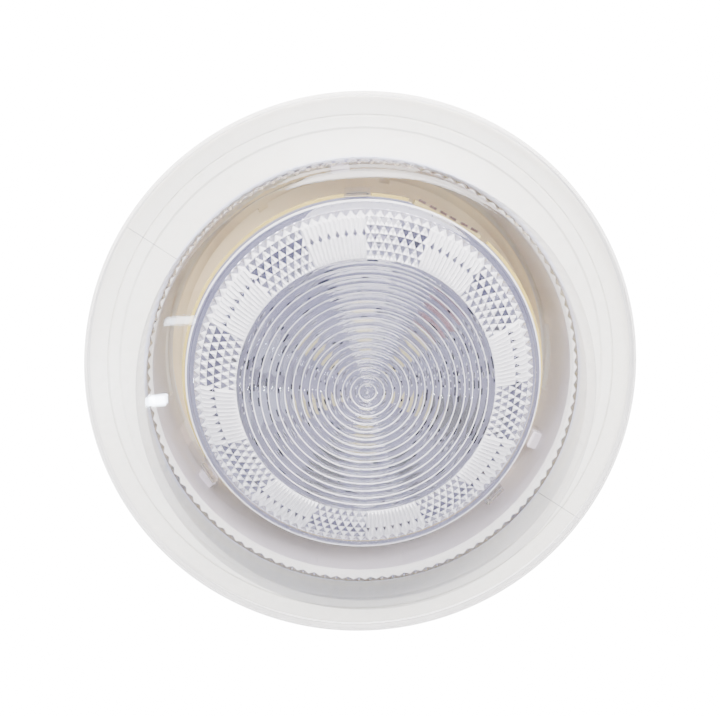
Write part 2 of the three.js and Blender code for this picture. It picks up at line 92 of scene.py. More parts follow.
# ---------------------------------------------------------------- camera

VIEW_AZIMUTH = math.radians(-3.1)
VIEW_ELEVATION = math.radians(13.24)
VIEW_DISTANCE = 190.6 * MM
VIEW_SHIFT = (-0.0067, 0.0312)
FOCAL_LENGTH = 44.75
SENSOR_WIDTH = 36

camera_data = bpy.data.cameras.new("camera")
camera_data.lens = FOCAL_LENGTH
camera_data.sensor_width = SENSOR_WIDTH
camera_data.shift_x, camera_data.shift_y = VIEW_SHIFT
camera_data.clip_start = 0.005
camera = bpy.data.objects.new("camera", camera_data)
bpy.context.scene.collection.objects.link(camera)
bpy.context.scene.camera = camera
target = Vector((0, -RIM_FRONT * MM, 0))
outward = Vector(
    (
        math.sin(VIEW_AZIMUTH) * math.cos(VIEW_ELEVATION),
        -math.cos(VIEW_AZIMUTH) * math.cos(VIEW_ELEVATION),
        math.sin(VIEW_ELEVATION),
    )
)
camera.location = target + outward * VIEW_DISTANCE
camera.rotation_mode = "QUATERNION"
camera.rotation_quaternion = (-outward).to_track_quat("-Z", "Y")

# ---------------------------------------------------------------- node materials

PLASTIC_IOR = 1.49


class Shader:
    """Builds one material out of shader nodes; surface() connects the last of them and gives the material."""

    def __init__(self, name):
        self.material = bpy.data.materials.new(name)
        self.material.use_nodes = True
        self.tree = self.material.node_tree
        self.tree.nodes.clear()
        self.output = self.tree.nodes.new("ShaderNodeOutputMaterial")

    def node(self, kind, links=None, **settings):
        made = self.tree.nodes.new(kind)
        for key, value in settings.items():
            setattr(made, key, value)
        for socket, value in (links or {}).items():
            if isinstance(value, bpy.types.NodeSocket):
                self.tree.links.new(value, made.inputs[socket])
            else:
                made.inputs[socket].default_value = value
        return made

    def noise(self, scale, detail=4, roughness=0.55):
        place = self.node("ShaderNodeTexCoord").outputs["Object"]
        links = {"Vector": place, "Scale": scale, "Detail": detail, "Roughness": roughness}
        return self.node("ShaderNodeTexNoise", links).outputs["Fac"]

    def ramp(self, fac, stops):
        made = self.node("ShaderNodeValToRGB", {"Fac": fac})
        ramp = made.color_ramp
        ramp.elements[0].position, ramp.elements[0].color = stops[0][0], (*stops[0][1], 1)
        ramp.elements[1].position, ramp.elements[1].color = stops[-1][0], (*stops[-1][1], 1)
        for position, color in stops[1:-1]:
            ramp.elements.new(position).color = (*color, 1)
        return made.outputs["Color"]

    def spread(self, fac, low, high):
        links = {"Value": fac, "From Min": 0.3, "From Max": 0.7, "To Min": low, "To Max": high}
        return self.node("ShaderNodeMapRange", links).outputs["Result"]

    def bump(self, height, strength, distance):
        links = {"Height": height, "Strength": strength, "Distance": distance}
        return self.node("ShaderNodeBump", links).outputs["Normal"]

    def mix(self, fac, first, second):
        """The first shader where fac is 0, the second where it is 1."""
        made = self.node("ShaderNodeMixShader", {"Fac": fac})
        self.tree.links.new(first, made.inputs[1])
        self.tree.links.new(second, made.inputs[2])
        return made.outputs["Shader"]

    def glass(self, tint, roughness):
        links = {"Color": (*tint, 1), "Roughness": roughness, "IOR": PLASTIC_IOR}
        return self.node("ShaderNodeBsdfGlass", links).outputs["BSDF"]

    def let_lamps_through(self, shader, shade):
        """The shader as it is seen, with lamps reaching what lies behind it, dimmed by the shade."""
        through = self.node("ShaderNodeBsdfTransparent", {"Color": (*shade, 1)}).outputs["BSDF"]
        lamp_ray = self.node("ShaderNodeLightPath").outputs["Is Shadow Ray"]
        return self.mix(lamp_ray, shader, through)

    def surface(self, socket):
        self.tree.links.new(socket, self.output.inputs["Surface"])
        return self.material


def moulded(name, color, roughness=0.4, drift=0.04, subsurface=0.0, specular=0.5):
    """Moulded plastic: a slow drift of tone, fine texture in the gloss, a faint orange peel."""
    s = Shader(name)
    dark = tuple(c * (1 - drift) for c in color)
    light = tuple(min(1, c * (1 + drift * 0.6)) for c in color)
    tone = s.ramp(s.noise(45, 3), [(0.35, dark), (0.65, light)])
    rough = s.spread(s.noise(900, 5), roughness * 0.85, roughness * 1.2)
    peel = s.bump(s.noise(2600, 2), 0.06, 0.0002)
    shader = s.node(
        "ShaderNodeBsdfPrincipled",
        {"Base Color": tone, "Roughness": rough, "Normal": peel, "Specular IOR Level": specular},
    )
    if subsurface:
        shader.inputs["Subsurface Weight"].default_value = subsurface
        shader.inputs["Subsurface Radius"].default_value = (1.0, 0.8, 0.6)
        shader.inputs["Subsurface Scale"].default_value = 0.004
    return s.surface(shader.outputs["BSDF"])


def metal(name, color, roughness=0.3):
    """Bare metal with a slow drift of tone and a finer one in its gloss."""
    s = Shader(name)
    tone = s.ramp(s.noise(300, 4), [(0.3, tuple(c * 0.88 for c in color)), (0.7, color)])
    rough = s.spread(s.noise(1800, 4), roughness * 0.7, roughness * 1.4)
    shader = s.node("ShaderNodeBsdfPrincipled", {"Base Color": tone, "Roughness": rough, "Metallic": 1.0})
    return s.surface(shader.outputs["BSDF"])


def clear(name, tint, roughness=0.02, shade=(0.93, 0.93, 0.95)):
    """Clear moulded plastic that lets lamps reach what lies behind it."""
    s = Shader(name)
    return s.surface(s.let_lamps_through(s.glass(tint, roughness), shade))


def clear_wall(name, tint, reflection=0.9, head_on=0.035, polish=(0.015, 0.05)):
    """Clear plastic with parallel faces: it bends nothing and mirrors at a shallow angle, where it is also
    darkened and tinted blue as painted shade.
    """
    s = Shader(name)
    facing = s.node("ShaderNodeLayerWeight", {"Blend": 0.5}).outputs["Facing"]
    steep = s.node("ShaderNodeMath", {0: facing, 1: 5.0}, operation="POWER").outputs["Value"]
    links = {0: steep, 1: reflection, 2: head_on}
    weight = s.node("ShaderNodeMath", links, operation="MULTIPLY_ADD").outputs["Value"]
    haze = s.ramp(s.noise(70, 3), [(0.3, tint), (0.7, tuple(min(1, c * 1.01) for c in tint))])
    # painted shade: the see-through part is darkened and tinted blue where the wall is seen edge-on
    grazing = s.node("ShaderNodeMath", {0: facing, 1: 12.0}, operation="POWER").outputs["Value"]
    edge_on_shade = s.ramp(grazing, [(0.0, (1, 1, 1)), (1.0, (0.3, 0.31, 0.36))])
    tone = s.node("ShaderNodeVectorMath", {0: haze, 1: edge_on_shade}, operation="MULTIPLY").outputs["Vector"]
    through = s.node("ShaderNodeBsdfTransparent", {"Color": tone}).outputs["BSDF"]
    links = {"Roughness": s.spread(s.noise(500, 4), *polish), "Color": (0.93, 0.94, 1.0, 1)}
    mirror = s.node("ShaderNodeBsdfGlossy", links).outputs["BSDF"]
    return s.surface(s.mix(weight, through, mirror))


def frosted(name, tint, white, amount):
    """Clear plastic mixed with a matte colour that scatters part of the light; on the lens a white one paints
    glints and a grey one paints shade.
    """
    s = Shader(name)
    tone = s.ramp(s.noise(700, 2), [(0.3, tuple(c * 0.94 for c in white)), (0.7, white)])
    matte = s.node("ShaderNodeBsdfDiffuse", {"Color": tone}).outputs["BSDF"]
    seen = s.mix(amount, s.glass(tint, 0.02), matte)
    return s.surface(s.let_lamps_through(seen, (0.6, 0.59, 0.59)))


IVORY = moulded("ivory_plastic", (0.83, 0.82, 0.77), 0.38, 0.02, subsurface=0.15)
# painted light: beige plastic pushed to a saturated tan that paints the yellow glow bounced from the board's
# edge; the cup's floor wears it too
DRUM_PAINTED_GLOW = moulded("drum_plastic_painted_glow", (0.97, 0.82, 0.50), 0.5, 0.04)
# painted light: the same ivory moulding made lighter and pink-lavender on the cup wall, to paint the light
# bounced inside the cup
CUP_WALL_PAINTED_BOUNCE = moulded("cup_wall_painted_bounce", (0.93, 0.875, 0.95), 0.45, 0.03)
EDGE = frosted("cover_edge", (0.97, 0.97, 0.98), (0.86, 0.85, 0.83), 0.55)
COVER = clear_wall("cover_clear", (0.978, 0.976, 0.982), reflection=0.45)
RIM = clear_wall("cover_rim", (0.978, 0.976, 0.972), reflection=0.7, polish=(0.22, 0.3))
# painted reflection: the glass of the notches is tinted blue to paint the bluish light mirrored in them
KNURL_PAINTED_BLUE = clear("cover_knurl_painted_blue", (0.80, 0.83, 1.0))
SEAM = clear_wall("cover_seam", (0.72, 0.72, 0.74))
# painted highlight: a mostly matte white on the prisms, ring valleys, teeth and lens rim line that paints the
# glints of clear prisms; the lamps still shade it
PRISM_PAINTED_GLINTS = frosted("lens_prisms_painted_glints", (0.985, 0.985, 1.0), (0.97, 0.97, 0.98), 0.6)
LENS = clear("lens_clear", (0.97, 0.97, 1.0), 0.01, shade=(0.56, 0.555, 0.57))
LENS_SHADE = (0.66, 0.655, 0.65)
# painted shade: darkened clear plastic on the facets beside the dip, painting them as shaded
FACETS_PAINTED_SHADE = clear("lens_facets_painted_shade", (0.42, 0.42, 0.52), shade=LENS_SHADE)
# painted shade: near-black clear dashes at the foot of the rings
RING_DASHES_PAINTED_SHADE = clear("lens_ring_painted_shade", (0.05, 0.05, 0.08), shade=LENS_SHADE)
# painted shade: a greyer lavender frost on the step outside the teeth, painting the shade there
FLANGE_PAINTED_SHADE = frosted("lens_flange_painted_shade", (0.985, 0.985, 1.0), (0.50, 0.50, 0.58), 0.3)
SILICONE = moulded("silicone", (0.83, 0.82, 0.77), 0.5, 0.02, subsurface=0.15)
RUBBER = moulded("black_rubber", (0.03, 0.03, 0.032), 0.75, 0.1)
STEEL = metal("zinc_steel", (0.72, 0.73, 0.76))
BRASS = metal("brass", (0.78, 0.58, 0.24))
CERAMIC = moulded("piezo_ceramic", (0.75, 0.76, 0.76), 0.35)
FOAM = moulded("gasket_foam", (0.05, 0.05, 0.055), 0.9, 0.3)
# painted shade: a dark blue-grey that paints the board lying in shade under the lens
MASK_PAINTED_SHADE = moulded("solder_mask_painted_shade", (0.15, 0.149, 0.21), 0.4, 0.03, specular=0.2)
LAMINATE = moulded("board_laminate", (0.46, 0.35, 0.08), 0.55, 0.12, specular=0.2)
CAN = moulded("can_sleeve", (0.20, 0.21, 0.26), 0.3, 0.2)
CHIP = moulded("chip_resin", (0.02, 0.02, 0.024), 0.5, 0.2)
RESIN_RED = moulded("resin_red", (0.13, 0.055, 0.06), 0.3, 0.1)
PHOSPHOR = moulded("led_phosphor", (0.42, 0.37, 0.17), 0.3, 0.05)
SWITCH_BODY = moulded("switch_body", (0.36, 0.29, 0.10), 0.45, 0.08)
SWITCH_LEVER = moulded("switch_lever", (0.05, 0.012, 0.008), 0.45, 0.1)
TERMINAL = moulded("terminal_body", (0.06, 0.22, 0.10), 0.45, 0.1)
LEAD_RED = moulded("lead_red", (0.45, 0.04, 0.03), 0.4)
LEAD_BLACK = moulded("lead_black", (0.03, 0.03, 0.03), 0.4)

# ---------------------------------------------------------------- mesh helpers
# Pieces are made with heights along +Z in millimetres, then turned so that the front faces -Y.

TO_ROW = Matrix.Rotation(math.pi / 2, 4, "X") @ Matrix.Scale(MM, 4)


def piece(name, bm, body, materials, replaces=(), smooth=35):
    """Turns a shape made in millimetres into a piece in the row frame, smooth up to an angle in degrees."""
    mesh = bpy.data.meshes.new(name)
    bm.to_mesh(mesh)
    bm.free()
    mesh.transform(TO_ROW)
    obj = bpy.data.objects.new(name, mesh)
    bpy.context.scene.collection.objects.link(obj)
    for material in materials:
        mesh.materials.append(material)
    mesh.shade_smooth()
    mesh.set_sharp_from_angle(angle=math.radians(smooth))
    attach(obj, body)
    if replaces:
        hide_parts(*replaces)


def lathe(bm, profile, steps):
    """Adds a surface of revolution about Z; its profile is (radius, height) points along the section."""
    turn = 2 * math.pi / steps
    rings = []
    for radius, height in profile:
        if radius < 1e-6:
            rings.append([bm.verts.new((0, 0, height))])
            continue
        places = [(radius * math.sin(i * turn), radius * math.cos(i * turn), height) for i in range(steps)]
        rings.append([bm.verts.new(place) for place in places])
    for a, b in zip(rings, rings[1:]):
        for i in range(steps):
            j = (i + 1) % steps
            corners = [a[i % len(a)], a[j % len(a)], b[j % len(b)], b[i % len(b)]]
            bm.faces.new(list(dict.fromkeys(corners)))


def bezier(a, b, c, d, steps):
    """Points along the cubic curve from a to d that b and c pull on."""
    points = []
    for i in range(steps + 1):
        t = i / steps
        k = ((1 - t) ** 3, 3 * t * (1 - t) ** 2, 3 * t * t * (1 - t), t**3)
        points.append(tuple(sum(w * p[axis] for w, p in zip(k, (a, b, c, d))) for axis in (0, 1)))
    return points


def outward_faces(bm):
    """Turns every face so that it looks out of its solid."""
    bmesh.ops.recalc_face_normals(bm, faces=bm.faces)


def swing(angle, radius, height):
    """The matrix that takes a shape drawn at the origin out to a clockwise angle from the top."""
    return Matrix.Rotation(-math.radians(angle), 4, "Z") @ Matrix.Translation((0, radius, height))


def add_box(bm, width, depth, height, matrix):
    """A box standing on its matrix's origin."""
    made = bmesh.ops.create_cube(bm, size=1.0)["verts"]
    shape = Matrix.Translation((0, 0, height / 2)) @ Matrix.Diagonal((width, depth, height, 1))
    bmesh.ops.transform(bm, matrix=matrix @ shape, verts=made)
    return made


def soften(bm, verts, offset, segments=2):
    """Bevels every edge of a shape that was just added."""
    edges = list({edge for vert in verts for edge in vert.link_edges})
    bmesh.ops.bevel(bm, geom=edges, offset=offset, segments=segments, affect="EDGES")


def paint(verts, index):
    """Gives every face of a shape that was just added the material with this index."""
    for face in {face for vert in verts for face in vert.link_faces}:
        face.material_index = index


def distance_out(point):
    """How far a point lies from the middle axis."""
    return math.hypot(point.x, point.y)


def as_mesh(bm):
    """A mesh made from a bmesh, which is used up."""
    outward_faces(bm)
    mesh = bpy.data.meshes.new("made")
    bm.to_mesh(mesh)
    bm.free()
    return mesh


def cut_with(bm, cutter):
    """Cuts the closed shapes of one bmesh out of another. Both are used up; the result is a new one."""
    body = bpy.data.objects.new("body", as_mesh(bm))
    tool = bpy.data.objects.new("tool", as_mesh(cutter))
    for item in (body, tool):
        bpy.context.scene.collection.objects.link(item)
    modifier = body.modifiers.new("cut", "BOOLEAN")
    modifier.operation = "DIFFERENCE"
    modifier.solver = "EXACT"
    modifier.use_self = True
    modifier.object = tool
    bpy.context.view_layer.update()
    result = bpy.data.meshes.new_from_object(body.evaluated_get(bpy.context.evaluated_depsgraph_get()))
    for item in (body, tool):
        bpy.data.objects.remove(item)
    cut = bmesh.new()
    cut.from_mesh(result)
    bpy.data.meshes.remove(result)
    return cut


# ---------------------------------------------------------------- clear cover

ROUND = 448
COVER_WALL = 1.8
FOOT_FLARE = 1.1
BAYONET_ANGLES = (8, 128, 248)
BAYONET_TURN = 14
BAYONET_RADIUS = 44
BAYONET_WIDTH = 5.6
BAYONET_STEPS = 5
BAYONET_RUN_BOTTOM = 12.4
MOULD_LINES = (-56, 124)
MOULD_LINE_WIDTH, MOULD_LINE_HEIGHT = 0.14, 0.1
KNURL_TEETH = 112
KNURL_HEIGHT = 2.0
KNURL_DEPTH = 0.6


def wall_curves():
    """Outer face of the dome from straight wall to crown, and the same curve one wall further in."""
    corner = [(45.3, 43.6), (45.3, 45.0), (44.6, 45.8), (43.0, 46.0)]
    crown = [(43.0, 46.0), (33.0, 47.3), (14.0, CROWN), (0.0, CROWN)]
    outer = bezier(*corner, 14) + bezier(*crown, 22)[1:]
    inner = []
    for i, (radius, height) in enumerate(outer):
        before, after = outer[max(i - 1, 0)], outer[min(i + 1, len(outer) - 1)]
        along = Vector((after[0] - before[0], after[1] - before[1])).normalized()
        inner.append((radius - along.y * COVER_WALL, height + along.x * COVER_WALL))
    inner[-1] = (0.0, CROWN - COVER_WALL)
    return outer, inner


def cover_profile():
    """Half section: down inside the dome and spigot, out under the rim, back over it and up the dome."""
    outer, inner = wall_curves()
    under = RIM_FRONT - RIM_THICKNESS
    inside = NECK_RADIUS - COVER_WALL
    rim_edge = bezier(
        (RIM_RADIUS, RIM_FRONT - 1.2),
        (RIM_RADIUS, RIM_FRONT - 0.3),
        (RIM_RADIUS - 0.3, RIM_FRONT),
        (RIM_RADIUS - 1.2, RIM_FRONT),
        6,
    )
    return [
        *reversed(inner),
        (inside, 36),
        (inside, RIM_FRONT),
        (inside, SPIGOT_BOTTOM + 0.25),
        (inside + 0.25, SPIGOT_BOTTOM),
        (SPIGOT_RADIUS - 0.4, SPIGOT_BOTTOM),
        (SPIGOT_RADIUS, SPIGOT_BOTTOM + 0.6),
        (SPIGOT_RADIUS, under),
        (PAN_RADIUS - 0.5, under),
        (RIM_RADIUS - 0.4, under),
        (RIM_RADIUS, under + 0.4),
        *rim_edge,
        (PAN_RADIUS - 0.5, RIM_FRONT),
        (NECK_RADIUS + FOOT_FLARE, RIM_FRONT),
        (NECK_RADIUS + 0.55, RIM_FRONT + 0.2),
        (NECK_RADIUS + 0.2, RIM_FRONT + 0.55),
        (NECK_RADIUS + 0.03, RIM_FRONT + 1.1),
        (NECK_RADIUS, RIM_FRONT + KNURL_HEIGHT),
        *outer,
    ]


def notch_foot(bm):
    """Presses a ring of small notches into the wall where the dome leaves the rim."""
    for vert in bm.verts:
        radius = distance_out(vert.co)
        at_foot = RIM_FRONT + 0.3 < vert.co.z < RIM_FRONT + KNURL_HEIGHT - 0.3
        if abs(radius - NECK_RADIUS) < 0.25 and at_foot:
            angle = math.atan2(vert.co.x, vert.co.y) % (2 * math.pi)
            phase = angle / (2 * math.pi) * KNURL_TEETH % 1.0
            depth = KNURL_DEPTH * (1 - abs(2 * phase - 1))
            vert.co.x *= (radius - depth) / radius
            vert.co.y *= (radius - depth) / radius


def bayonet_cutter():
    """The three L-shaped slots: a way in from the spigot's end, then a short run round it."""
    tool = bmesh.new()
    for entry in BAYONET_ANGLES:
        add_box(tool, BAYONET_WIDTH, 6, 10.1, swing(entry, BAYONET_RADIUS, SPIGOT_BOTTOM - 2))
        for i in range(1, BAYONET_STEPS + 1):
            angle = entry - BAYONET_TURN * i / BAYONET_STEPS
            add_box(tool, BAYONET_WIDTH, 6, 4.2, swing(angle, BAYONET_RADIUS, BAYONET_RUN_BOTTOM))
    return tool


def make_cover():
    materials = [COVER, KNURL_PAINTED_BLUE, SEAM, EDGE, RIM]
    bm = bmesh.new()
    lathe(bm, cover_profile(), ROUND)
    notch_foot(bm)
    bm = cut_with(bm, bayonet_cutter())
    # the notch faces take the blue-tinted glass that paints bluish reflections
    for face in bm.faces:
        middle = face.calc_center_median()
        radius = distance_out(middle)
        foot = RIM_FRONT - 0.01 < middle.z < RIM_FRONT + KNURL_HEIGHT + 0.01
        if radius > NECK_RADIUS + FOOT_FLARE:
            finish = EDGE if radius > PAN_RADIUS - 0.4 else RIM
        else:
            finish = KNURL_PAINTED_BLUE if foot and radius > NECK_RADIUS - KNURL_DEPTH - 0.1 else COVER
        face.material_index = materials.index(finish)
    for angle in MOULD_LINES:
        place = swing(angle, (RIM_RADIUS + NECK_RADIUS) / 2, RIM_FRONT - MOULD_LINE_HEIGHT / 2)
        seam = add_box(bm, MOULD_LINE_WIDTH, RIM_RADIUS - NECK_RADIUS - 2, MOULD_LINE_HEIGHT, place)
        paint(seam, materials.index(SEAM))
    piece("cover_shell", bm, "cover", materials, ["clear_cover"])


# ---------------------------------------------------------------- ivory pan

CUP_OUTER = 47.4
RIM_DEPTH = 2.5
SEAL_GROOVE_DEPTH = 1.5
MOULD_STEPS = 21
MOUNT_SLOT_OUT, MOUNT_SLOT_WIDTH, MOUNT_SLOT_HALF_RUN = 30, 3.9, 2.05
CABLE_ENTRY_ANGLE, CABLE_ENTRY_OUT, CABLE_ENTRY_RADIUS = 130, 28, 6
VENT_GROUPS = (45, 135, 225, 315)
VENTS_IN_GROUP, VENT_STEP = 7, 6
VENT_SIZE, VENT_OUT, VENT_BOTTOM = (2.4, 6, 11), 56.8, 6
CUP_PORTS = 6
PORT_SIZE, PORT_HEIGHT = (16, 6, 3.4), 4.8
PEG_SIZE, PEG_HEIGHT = (4, 3, 3), 13


def pan_profile():
    """Half section: outwards along the back, round the skirt and rim, and back in over the cup's floor."""
    roof = PAN_TOP - RIM_DEPTH
    groove_out, groove_in = SEAL_RADIUS - 0.02, SEAL_RADIUS - 2.88
    steps = [(CUP_RADIUS - 0.02 * (i % 2), PAN_TOP - 1.5 - i * 0.9) for i in range(MOULD_STEPS)]
    return [
        (0, 0),
        (CUP_OUTER - 0.4, 0),
        (CUP_OUTER, 0.4),
        (CUP_OUTER, roof),
        (56.2, roof),
        (55.6, 0.3),
        (55.9, 0),
        (57.4, 0),
        (57.8, 0.4),
        (PAN_RADIUS, PAN_TOP - 0.9),
        (PAN_RADIUS - 0.25, PAN_TOP - 0.25),
        (PAN_RADIUS - 0.9, PAN_TOP),
        (groove_out, PAN_TOP),
        (groove_out, PAN_TOP - SEAL_GROOVE_DEPTH),
        (groove_in, PAN_TOP - SEAL_GROOVE_DEPTH),
        (groove_in, PAN_TOP),
        (CUP_RADIUS + 0.6, PAN_TOP),
        (CUP_RADIUS, PAN_TOP - 0.6),
        *steps,
        (CUP_RADIUS, PAN_FLOOR + 1.8),
        (CUP_RADIUS - 0.25, PAN_FLOOR + 1.0),
        (CUP_RADIUS - 0.9, PAN_FLOOR + 0.35),
        (CUP_RADIUS - 1.8, PAN_FLOOR),
        (0, PAN_FLOOR),
    ]


def add_disc(bm, radius, depth, segments, matrix):
    """A round cutter centred on its matrix's origin."""
    made = bmesh.ops.create_cone(
        bm, cap_ends=True, segments=segments, radius1=radius, radius2=radius, depth=depth
    )["verts"]
    bmesh.ops.transform(bm, matrix=matrix, verts=made)


def pan_cutter():
    """Two mounting slots, the cable entry, four groups of vents in the skirt, six ports in the cup wall."""
    tool = bmesh.new()
    for side in (-1, 1):
        middle = side * MOUNT_SLOT_OUT
        add_box(tool, 2 * MOUNT_SLOT_HALF_RUN, MOUNT_SLOT_WIDTH, 5, Matrix.Translation((middle, 0, -1)))
        for end in (-1, 1):
            place = Matrix.Translation((middle + end * MOUNT_SLOT_HALF_RUN, 0, 1.5))
            add_disc(tool, MOUNT_SLOT_WIDTH / 2, 5, 24, place)
    add_disc(tool, CABLE_ENTRY_RADIUS, 6, 48, swing(CABLE_ENTRY_ANGLE, CABLE_ENTRY_OUT, 2))
    for middle in VENT_GROUPS:
        for i in range(VENTS_IN_GROUP):
            angle = middle + (i - VENTS_IN_GROUP // 2) * VENT_STEP
            add_box(tool, *VENT_SIZE, swing(angle, VENT_OUT, VENT_BOTTOM))
    for i in range(CUP_PORTS):
        add_box(tool, *PORT_SIZE, swing(30 + 60 * i, CUP_RADIUS + 1, PORT_HEIGHT))
    return tool


def make_pan():
    materials = [IVORY, CUP_WALL_PAINTED_BOUNCE, DRUM_PAINTED_GLOW]
    bm = bmesh.new()
    lathe(bm, pan_profile(), ROUND)
    bm = cut_with(bm, pan_cutter())
    for angle in BAYONET_ANGLES:
        peg = add_box(bm, *PEG_SIZE, swing(angle - BAYONET_TURN, CUP_RADIUS - 0.6, PEG_HEIGHT))
        soften(bm, peg, 0.25)
    for face in bm.faces:
        middle = face.calc_center_median()
        above_floor = middle.z - PAN_FLOOR
        # Inside the cup: the floor takes the tan of painted bounced glow, a thin band above it plain ivory as
        # a painted highlight along the fillet, and the wall the pink-lavender of painted bounced light.
        if distance_out(middle) < CUP_RADIUS + 0.05 and above_floor > -0.05:
            finish = DRUM_PAINTED_GLOW if above_floor < 0.2 else IVORY if 0.2 < above_floor < 1.5 else CUP_WALL_PAINTED_BOUNCE
            face.material_index = materials.index(finish)
    piece("pan_shell", bm, "base", materials, ["base_pan"])


# ---------------------------------------------------------------- flash lens
# The lens is a grid of rows, counted outwards, and columns, counted clockwise. Four columns make one tooth.

TEETH = 112
COLUMNS = 4 * TEETH
SECTORS = 16
PRISM_INNER, PRISM_OUTER = 26.6, 34.6
PRISM_ROWS = 10
RING_DEPTH, PRISM_DEPTH, PRISM_REACH = 0.32, 0.85, 0.3
INSIDE_RING_DEPTH, INSIDE_PRISM_DEPTH, INSIDE_PRISM_REACH = -0.3, -0.8, -0.1
DIP_ROW = 6
SHOULDER = 31
TOOTH_TIPS = (0.05, 0.6, 1.25, 0.6)
RINGS = 16
RING_POINTS = 10
RING_ROWS = RINGS * RING_POINTS
LENS_WALL = 2.0
LENS_RIM = 37.9
LEG_ANGLES = (358, 239, 133)
LEG_BOTTOM = 18
LEG_SIZE, LEG_OUT = (5, 1.5, 10.4), 39.4
HOOK_SIZE, HOOK_OUT = (4.6, 2, 1.8), 38.2


def smooth_lens_height(radius):
    """Outer face of the lens without its rings and prisms."""
    if radius <= PRISM_INNER:
        return LENS_CROWN - 2.6 * (radius / PRISM_INNER) ** 2.2
    if radius <= SHOULDER:
        return 37.4 - (radius - PRISM_INNER) * 0.5
    return 35.2 - (radius - SHOULDER) * 0.86


def in_diamonds(column):
    """Sectors of pyramids and sectors of ribs take turns round the lens."""
    return (column // (COLUMNS // SECTORS)) % 2 == 0


def prism_rise(column, row):
    """How far a corner stands out, 0 to 1: rows of small pyramids, or ribs with a dip across them."""
    if column % (COLUMNS // SECTORS) == 0 or row in (0, PRISM_ROWS):
        return 0.0
    if in_diamonds(column):
        return 1.0 if row % 2 == 1 and (column - 2 - 2 * (row // 2 % 2)) % 4 == 0 else 0.0
    if column % 2 == 0:
        return 0.0
    return 0.2 if row == DIP_ROW else 1.0


def facet_finish(column, row):
    """Pyramids and ribs frosted white as painted glints, clear facets between the pyramids, and darkened
    clear ones beside the dip as painted shade.
    """
    if not in_diamonds(column):
        return FACETS_PAINTED_SHADE if DIP_ROW - 0.5 < row < DIP_ROW + 0.5 and column % 4 > 2 else PRISM_PAINTED_GLINTS
    across, up = (column % 4) / 4, (row % 2) / 2
    across = (across - 0.5 * ((row // 2) % 2)) % 1.0
    if up / 2 < across < 1 - up / 2:
        return PRISM_PAINTED_GLINTS
    return FACETS_PAINTED_SHADE if DIP_ROW - 2 <= row < DIP_ROW + 2 and row % 2 > 0.5 else LENS


def lens_face(base, ring_depth, prism_depth, reach):
    """Rows of points from the centre outwards for one face of the lens: rings, then prisms, then teeth."""
    rows = [[(0.0, base(0))] * COLUMNS]
    pitch = PRISM_INNER / RINGS
    for ring in range(RINGS):
        for k in range(1, RING_POINTS + 1):
            radius = (ring + k / RING_POINTS) * pitch
            bulge = math.sin(math.pi * k / RING_POINTS) ** 0.7 if k < RING_POINTS else 0.0
            rows.append([(radius, base(radius) + ring_depth * bulge)] * COLUMNS)
    for row in range(1, PRISM_ROWS + 1):
        radius = PRISM_INNER + (PRISM_OUTER - PRISM_INNER) * row / PRISM_ROWS
        rises = [prism_rise(column, row) for column in range(COLUMNS)]
        rows.append([(radius + rise * reach, base(radius) + prism_depth * rise) for rise in rises])
    foot = base(PRISM_OUTER + 0.6)
    rows.append([(PRISM_OUTER + TOOTH_TIPS[column % 4], foot) for column in range(COLUMNS)])
    return rows


def lens_edge():
    """Rows of points over the flange, down the skirt and back up inside it."""
    places = [
        (36.0, 29.7),
        (37.5, 29.45),
        (37.8, 29.3),
        (LENS_RIM, RIM_FRONT),
        (LENS_RIM, BOARD_TOP + 0.4),
        (37.0, BOARD_TOP + 0.4),
        (36.8, 27.9),
        (36.0, 28.1),
    ]
    return [[place] * COLUMNS for place in places]


def painted_shade_dashes():
    """Short stretches at the foot of the rings, more of them at the two sides, that take a near-black clear
    finish as painted shade.
    """
    chosen = set()
    for ring in range(2, RINGS):
        for _ in range(3 + ring):
            side = random.choice((90, 270, random.uniform(0, 360)))
            start = int(random.gauss(side, 22) / 360 * COLUMNS)
            row = ring * RING_POINTS + random.choice((1, 1, 2, 7))
            for i in range(random.randint(2, 7)):
                column = (start + i) % COLUMNS
                chosen.update(((row, column), (row + 1, column)))
    return chosen


def lens_rings(bm, rows):
    """Turns rows of (radius, height) into rings of corners; a row at the centre becomes one corner."""
    turn = 2 * math.pi / COLUMNS
    rings = []
    for row in rows:
        if row[0][0] < 1e-6:
            rings.append([bm.verts.new((0, 0, row[0][1]))] * COLUMNS)
            continue
        places = [(r * math.sin(i * turn), r * math.cos(i * turn), h) for i, (r, h) in enumerate(row)]
        rings.append([bm.verts.new(place) for place in places])
    return rings


def prism_halves(a, b, i, row):
    """The two triangles of a prism cell, each with its middle's place across and up the cell, in thirds."""
    j = (i + 1) % COLUMNS
    if (i + row) % 2 == 0:
        return ((a[i], a[j], b[j]), (2, 1)), ((a[i], b[j], b[i]), (1, 2))
    return ((a[i], a[j], b[i]), (1, 1)), ((a[j], b[j], b[i]), (2, 2))


def row_finish(index, outside_rows):
    """Finish of a row of cells: valleys, teeth and rim line frosted white as painted highlights, a greyer
    frost on the flange as painted shade, and clear the rest.
    """
    past_teeth = index - outside_rows
    valley = index < RING_ROWS and index % RING_POINTS == 0
    if valley or index == RING_ROWS + PRISM_ROWS or past_teeth in (1, 2):
        return PRISM_PAINTED_GLINTS
    return FLANGE_PAINTED_SHADE if past_teeth == -1 else LENS


def add_legs(bm):
    """Three snap legs that reach down past the edge of the board."""
    for angle in LEG_ANGLES:
        for size, out in ((LEG_SIZE, LEG_OUT), (HOOK_SIZE, HOOK_OUT)):
            soften(bm, add_box(bm, *size, swing(angle, out, LEG_BOTTOM)), 0.2)


